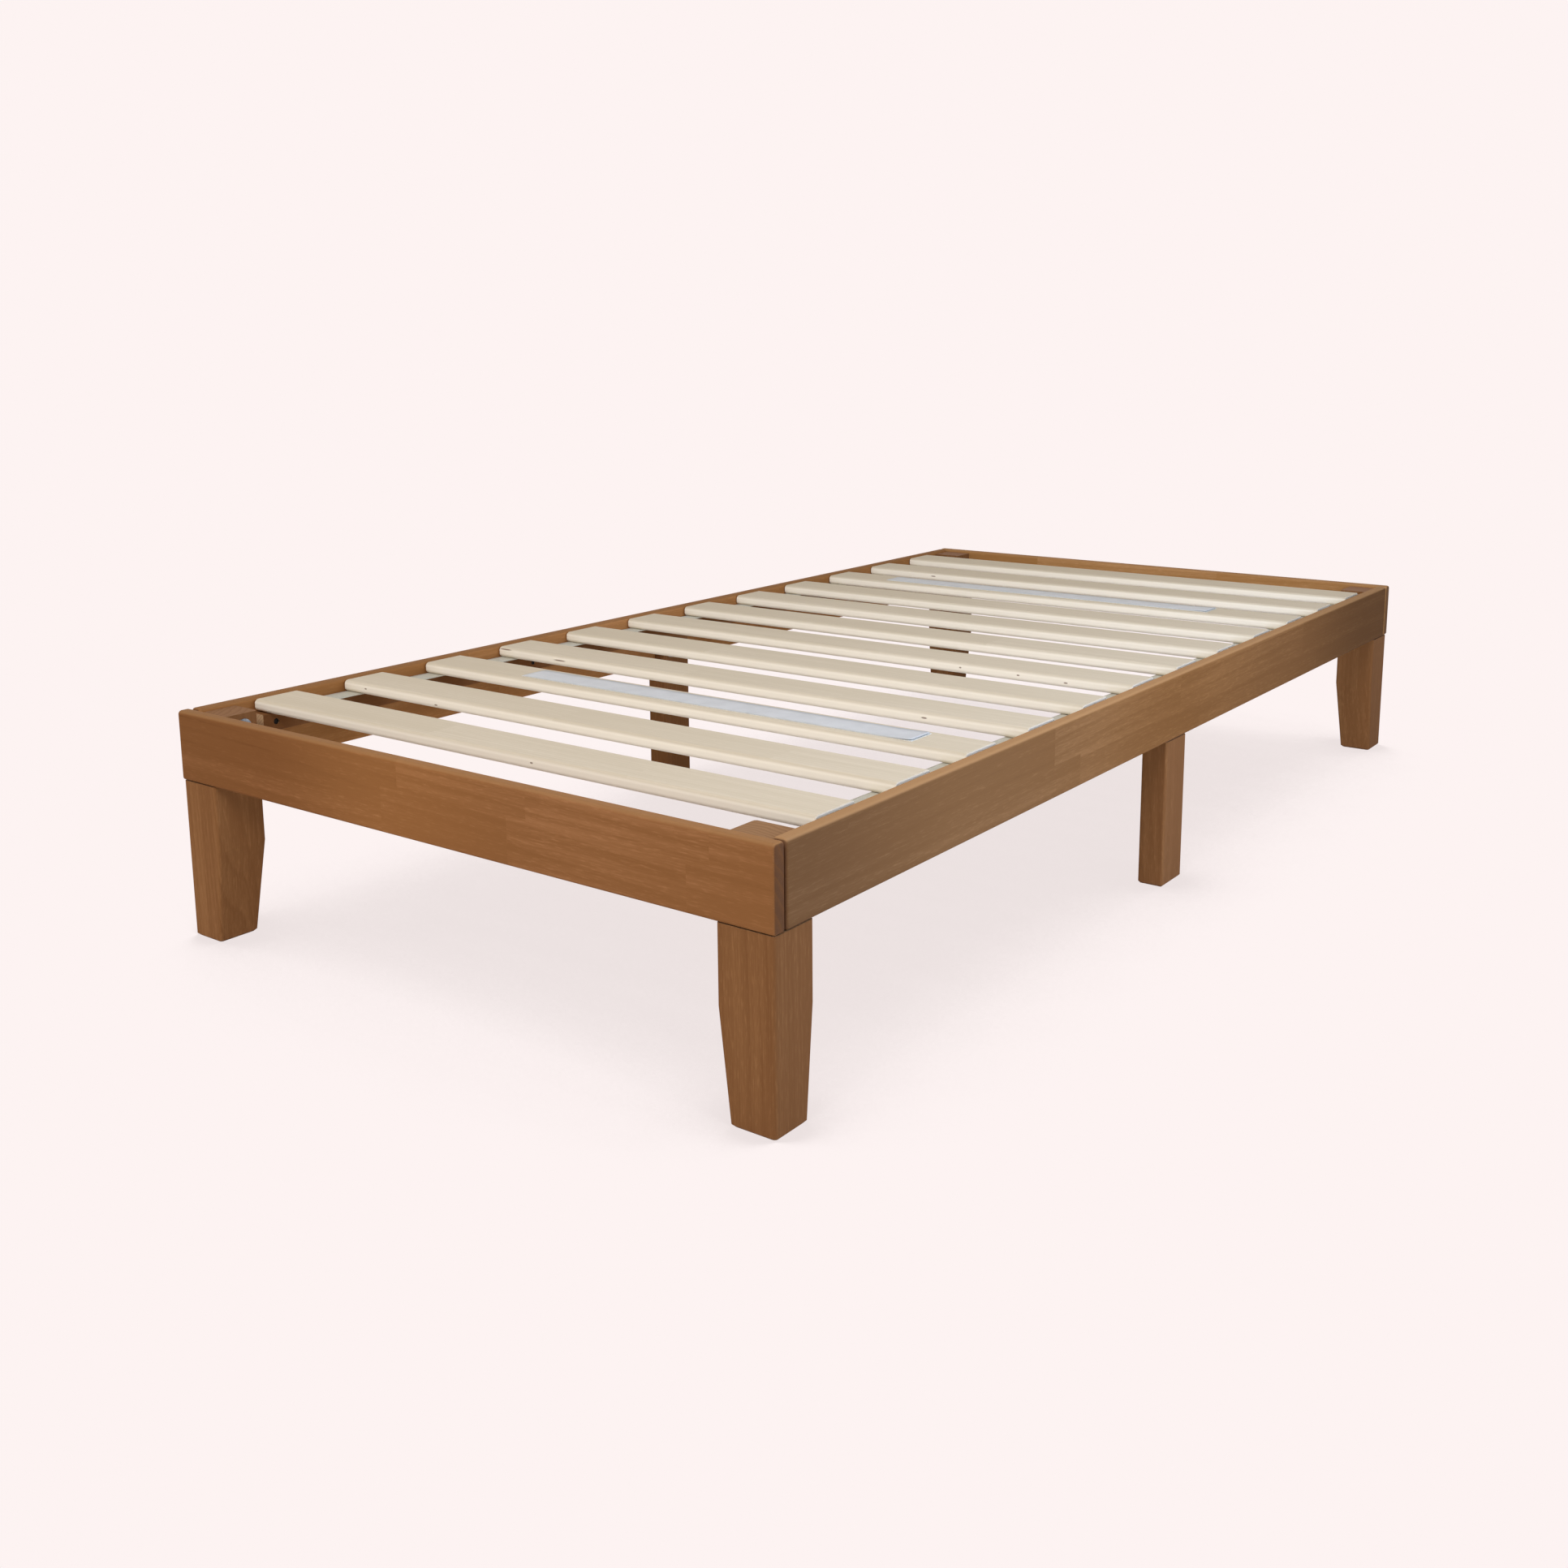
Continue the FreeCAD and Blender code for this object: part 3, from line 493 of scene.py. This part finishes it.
def wovenWebbing():
    material, tree = newMaterial("woven polypropylene webbing")
    coords = addNode(tree, "TexCoord")
    ribs, threads = [
        addNode(tree, "TexWave", {
            "Vector": coords.outputs["Object"],
            "Scale": math.tau / 20 / webbing[spacing],
        }, wave_type="BANDS", bands_direction=direction)
        for spacing, direction in (("ribSpacing", "Y"), ("threadSpacing", "X"))
    ]
    weave = addNode(tree, "Math", {0: ribs.outputs["Fac"], 1: threads.outputs["Fac"]}, operation="MULTIPLY")
    fuzz = addNode(tree, "TexNoise", {
        "Vector": coords.outputs["Object"],
        "Scale": 1 / webbing["fuzzSize"],
        "Detail": 3.0,
    })
    level = addNode(tree, "Math", {
        0: fuzz.outputs["Fac"],
        1: webbing["fuzzShare"],
        2: weave.outputs[0],
    }, operation="MULTIPLY_ADD")
    dark, light = webbing["colours"]
    colour = addNode(tree, "ValToRGB", {"Fac": level.outputs[0]}, stops=soft((0.1, dark), (0.9, light)))
    bump = addNode(tree, "Bump", {
        "Height": weave.outputs[0],
        "Strength": 0.6,
        "Distance": webbing["ribDepth"],
    })
    surface = addNode(tree, "BsdfPrincipled", {
        "Base Color": colour.outputs["Color"],
        "Roughness": webbing["roughness"],
        "Sheen Weight": webbing["sheen"],
        "Normal": bump.outputs["Normal"],
    })
    addNode(tree, "OutputMaterial", {"Surface": surface.outputs["BSDF"]})
    return material


def addPiece(name, mesh, body, material):
    data = bpy.data.meshes.new(name)
    mesh.to_mesh(data)
    mesh.free()
    data.materials.append(material)
    for face in data.polygons:
        face.use_smooth = True
    piece = bpy.data.objects.new(name, data)
    bpy.context.scene.collection.objects.link(piece)
    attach(piece, body)
    return piece


def addThickness(piece, thickness):
    wall = piece.modifiers.new("thickness", "SOLIDIFY")
    wall.thickness = thickness
    wall.offset = 0


slatLines = [(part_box(f"slat_{number:02d}")[0].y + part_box(f"slat_{number:02d}")[1].y) / 2 for number in slats]
slatPitch = slatLines[1] - slatLines[0]
strapMaterial = wovenWebbing()
for side in ("left", "right"):
    node = "slat_strap_" + side
    low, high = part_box(node)
    size, middle = high - low, (low + high) / 2
    mesh = bmesh.new()
    bmesh.ops.create_grid(mesh, x_segments=webbing["stepsAcross"], y_segments=webbing["stepsAlong"], size=0.5)
    bmesh.ops.scale(mesh, vec=(size.x, size.y, 1), verts=mesh.verts)
    bmesh.ops.translate(mesh, vec=middle, verts=mesh.verts)
    for vert in mesh.verts:  # the webbing rises a little in the gaps between the slats
        gap = math.sin(math.pi * (vert.co.y - slatLines[0]) / slatPitch) ** 2
        vert.co.z += webbing["lift"] * max(0, gap - 0.3)
    strap = addPiece("webbing_strap_" + side, mesh, "slat_deck", strapMaterial)
    addThickness(strap, size.z - 0.0002)
    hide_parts(node)
print("webbing straps: 2")


# Siliconised kraft paper, coated: cool grey and smooth, with a slight sheen and faint cockles
liner = {
    "colours": ("#BEC0C1", "#C8CACB"),
    "cloudSize": 0.03,
    "fibreSize": 0.0015,
    "roughness": 0.5,
    "cockleSize": 0.06,
    "cockleHeight": 0.00012,
    "corner": 0.006,
    "endLift": 0.0012,
    "liftLength": 0.05,
    "step": 0.006,
}


def releasePaper():
    material, tree = newMaterial("coated release paper")
    coords = addNode(tree, "TexCoord")
    clouds, fibre = [
        addNode(tree, "TexNoise", {
            "Vector": coords.outputs["Object"],
            "Scale": 1 / liner[size],
            "Detail": detail,
        }) for size, detail in (("cloudSize", 4.0), ("fibreSize", 2.0))
    ]
    dark, light = liner["colours"]
    colour = addNode(tree, "ValToRGB", {"Fac": clouds.outputs["Fac"]}, stops=soft((0.3, dark), (0.7, light)))
    bump = addNode(tree, "Bump", {"Height": fibre.outputs["Fac"], "Strength": 0.2, "Distance": 0.0001})
    surface = addNode(tree, "BsdfPrincipled", {
        "Base Color": colour.outputs["Color"],
        "Roughness": liner["roughness"],
        "Normal": bump.outputs["Normal"],
    })
    addNode(tree, "OutputMaterial", {"Surface": surface.outputs["BSDF"]})
    return material


paper = releasePaper()
for end in ("front", "back"):
    node = "tape_liner_" + end
    low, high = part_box(node)
    size, middle = high - low, (low + high) / 2
    mesh = bmesh.new()
    bmesh.ops.create_grid(mesh, x_segments=1, y_segments=1, size=0.5)
    bmesh.ops.scale(mesh, vec=(size.x, size.y, 1), verts=mesh.verts)
    bmesh.ops.bevel(mesh, geom=mesh.verts[:], offset=liner["corner"], offset_type="OFFSET", affect="VERTICES",
                    segments=5, profile=0.5, material=-1)
    steps = int(size.x / liner["step"])
    for index in range(1, steps):
        bmesh.ops.bisect_plane(mesh, geom=mesh.verts[:] + mesh.edges[:] + mesh.faces[:], plane_no=(1, 0, 0),
                               plane_co=(size.x * (index / steps - 0.5), 0, 0))
    for index in (-1, 0, 1):
        bmesh.ops.bisect_plane(mesh, geom=mesh.verts[:] + mesh.edges[:] + mesh.faces[:], plane_no=(0, 1, 0),
                               plane_co=(0, size.y * index / 4, 0))
    for vert in mesh.verts:
        turns = vert.co.x / liner["cockleSize"]
        wave = math.sin(turns * 2.3) * math.sin(turns + vert.co.y * 60)
        lift = max(0, 1 - (size.x / 2 - vert.co.x) / liner["liftLength"])
        vert.co.z += liner["cockleHeight"] * (0.5 + 0.5 * wave) + liner["endLift"] * lift ** 2
    bmesh.ops.translate(mesh, vec=middle, verts=mesh.verts)
    strip = addPiece("release_liner_" + end, mesh, "slat_deck", paper)
    addThickness(strip, size.z * 0.8)
    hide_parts(node)
print("release liners: 2")


# Acrylic foam tape, extruded: milky and matt, it shows only as a thin pale edge
foam = {"colours": ("#CFCFC9", "#E0E0DA"), "cellSize": 0.002, "roughness": 0.55}


def acrylicTape():
    material, tree = newMaterial("extruded acrylic foam tape")
    coords = addNode(tree, "TexCoord")
    cells = addNode(tree, "TexNoise", {
        "Vector": coords.outputs["Object"],
        "Scale": 1 / foam["cellSize"],
        "Detail": 2.0,
    })
    dark, light = foam["colours"]
    colour = addNode(tree, "ValToRGB", {"Fac": cells.outputs["Fac"]}, stops=soft((0.3, dark), (0.7, light)))
    bump = addNode(tree, "Bump", {"Height": cells.outputs["Fac"], "Strength": 0.3, "Distance": 0.0001})
    surface = addNode(tree, "BsdfPrincipled", {
        "Base Color": colour.outputs["Color"],
        "Roughness": foam["roughness"],
        "Normal": bump.outputs["Normal"],
    })
    addNode(tree, "OutputMaterial", {"Surface": surface.outputs["BSDF"]})
    return material


# Steel, cold headed and zinc plated: grey with a bluish cast, soft reflections and a faint mottle
# Steel screws, dipped in black phosphate: nearly black, dry and dull
# Brass, turned: yellow metal; the fine rings left by the tool are not drawn, only a faint mottle
metals = {
    "zinc plated steel": {"colours": ("#6E7377", "#969B9E"), "roughness": (0.40, 0.58), "mottle": 0.004},
    "black phosphated steel": {"colours": ("#1B1A19", "#2B2927"), "roughness": (0.55, 0.7), "mottle": 0.003},
    "turned brass": {"colours": ("#A98A4C", "#C9AA68"), "roughness": (0.28, 0.42), "mottle": 0.002},
}


def platedMetal(name):
    metal = metals[name]
    material, tree = newMaterial(name)
    coords = addNode(tree, "TexCoord")
    mottle = addNode(tree, "TexNoise", {
        "Vector": coords.outputs["Object"],
        "Scale": 1 / metal["mottle"],
        "Detail": 3.0,
    })
    dark, light = metal["colours"]
    colour = addNode(tree, "ValToRGB", {"Fac": mottle.outputs["Fac"]}, stops=soft((0.3, dark), (0.7, light)))
    roughness = addNode(tree, "MapRange", {
        "Value": mottle.outputs["Fac"],
        "To Min": metal["roughness"][0],
        "To Max": metal["roughness"][1],
    })
    surface = addNode(tree, "BsdfPrincipled", {
        "Base Color": colour.outputs["Color"],
        "Metallic": 1.0,
        "Roughness": roughness.outputs["Result"],
    })
    addNode(tree, "OutputMaterial", {"Surface": surface.outputs["BSDF"]})
    return material


zinc = platedMetal("zinc plated steel")
black = platedMetal("black phosphated steel")
brass = platedMetal("turned brass")
tape = acrylicTape()
finishes = {
    "corner_bolts": zinc, "corner_washers": zinc, "mid_leg_bolts": zinc, "mid_leg_washers": zinc,
    "strap_staples_left": zinc, "strap_staples_right": zinc,
    "ledger_screws_left": black, "ledger_screws_right": black,
    "corner_insert_nuts": brass, "mid_leg_insert_nuts": brass,
    "grip_tape_front": tape, "grip_tape_back": tape,
}
for piece, material in finishes.items():
    nodes[piece].data.materials.clear()
    nodes[piece].data.materials.append(material)
print("metal and tape:", len(finishes))


# Studio: a dome that dims to the right, a broad key above the foot end and a cool fill low on the right,
# over a pale floor
studio = {
    "paper": "#FDF3F2",
    "dome": ("#FFF9EC", 0.63, 0.15),  # colour, strength on the left and on the right
    "softboxes": {  # colour, watts, size, place, what it points at
        "key": ("#F8F8FF", 112, (2.2, 1.6), (0.7, -3.2, 3.2), (0.0, -0.2, 0.2)),
        "fill": ("#CBE0FF", 19.5, (1.1, 0.6), (1.6, -0.2, 0.75), (0.48, -0.2, 0.26)),
    },
    "shadow": ("#EBE1E0", 0.9),  # colour, reach
    "shadowEdge": (0.64, 0.72),  # shares of open sky where the shadow is full and where it ends
    "shadowSamples": 24,
    "floorBounce": "#E8E4E2",
    "floorSize": 60.0,
}


# 1 for what the camera sees, directly, in a reflection or through something clear
def addSeen(tree):
    path = addNode(tree, "LightPath")
    total = path.outputs["Is Camera Ray"]
    for name in ("Is Glossy Ray", "Is Transmission Ray"):
        total = addNode(tree, "Math", {0: total, 1: path.outputs[name]}, operation="MAXIMUM").outputs[0]
    return total


def addStudio():
    scene = bpy.context.scene
    scene.view_settings.view_transform = "Standard"
    for name, (colour, watts, size, place, target) in studio["softboxes"].items():
        lamp = bpy.data.lights.new("softbox_" + name, "AREA")
        lamp.shape = "RECTANGLE"
        lamp.size, lamp.size_y = size
        lamp.color = linear(colour)[:3]
        lamp.energy = watts
        softbox = bpy.data.objects.new("softbox_" + name, lamp)
        softbox.location = place
        softbox.rotation_euler = (Vector(place) - Vector(target)).to_track_quat("Z", "Y").to_euler()
        scene.collection.objects.link(softbox)

    world = bpy.data.worlds.new("studio")
    scene.world = world
    world.use_nodes = True
    tree = world.node_tree
    tree.nodes.clear()
    domeColour, left, right = studio["dome"]
    sky = addNode(tree, "TexCoord")
    side = addNode(tree, "SeparateXYZ", {"Vector": sky.outputs["Generated"]})
    strength = addNode(tree, "MapRange", {
        "Value": side.outputs["X"],
        "From Min": -1.0,
        "To Min": left,
        "To Max": right,
    })
    dome = addNode(tree, "Background", {"Color": domeColour, "Strength": strength.outputs["Result"]})
    backdrop = addNode(tree, "Background", {"Color": studio["paper"], "Strength": 1.0})
    both = addNode(tree, "MixShader", {0: addSeen(tree), 1: dome.outputs[0], 2: backdrop.outputs[0]})
    addNode(tree, "OutputWorld", {"Surface": both.outputs[0]})

    material, tree = newMaterial("pale studio paper")
    shadowColour, reach = studio["shadow"]
    shadow = addNode(tree, "AmbientOcclusion", {"Distance": reach}, samples=studio["shadowSamples"])
    full, gone = studio["shadowEdge"]
    shade = addNode(tree, "ValToRGB", {"Fac": shadow.outputs["AO"]}, stops=[
        (full, shadowColour, "LINEAR"), (gone, studio["paper"], "LINEAR")
    ])
    shown = addNode(tree, "Emission", {"Color": shade.outputs["Color"]})
    plain = addNode(tree, "BsdfDiffuse", {"Color": studio["floorBounce"]})
    both = addNode(tree, "MixShader", {0: addSeen(tree), 1: plain.outputs[0], 2: shown.outputs[0]})
    addNode(tree, "OutputMaterial", {"Surface": both.outputs[0]})
    mesh = bmesh.new()
    bmesh.ops.create_grid(mesh, x_segments=1, y_segments=1, size=studio["floorSize"] / 2)
    data = bpy.data.meshes.new("studio_floor")
    mesh.to_mesh(data)
    mesh.free()
    data.materials.append(material)
    floor = bpy.data.objects.new("studio_floor", data)
    scene.collection.objects.link(floor)


addStudio()
print("studio ready")


# Camera: found from the edges of the rails, slats and legs in the photograph
view = {
    "place": (1.370635, -2.121887, 0.781485),
    "right": (0.8018156, 0.5975219, -0.0077032),
    "down": (0.1057894, -0.1546226, -0.9822935),
    "forward": (-0.5881329, 0.7868033, -0.1871903),
    "lens": 37.34,
    "sensor": 36.0,
    "shiftY": -0.0920,
}
lens = bpy.data.cameras.new("photo_camera")
lens.lens = view["lens"]
lens.sensor_width = view["sensor"]
lens.shift_y = view["shiftY"]
lens.clip_end = 200
camera = bpy.data.objects.new("photo_camera", lens)
up, back = -Vector(view["down"]), -Vector(view["forward"])
turn = Matrix((view["right"], up, back)).transposed()
camera.matrix_world = Matrix.Translation(view["place"]) @ turn.to_4x4()
bpy.context.scene.collection.objects.link(camera)
bpy.context.scene.camera = camera
print("camera ready")
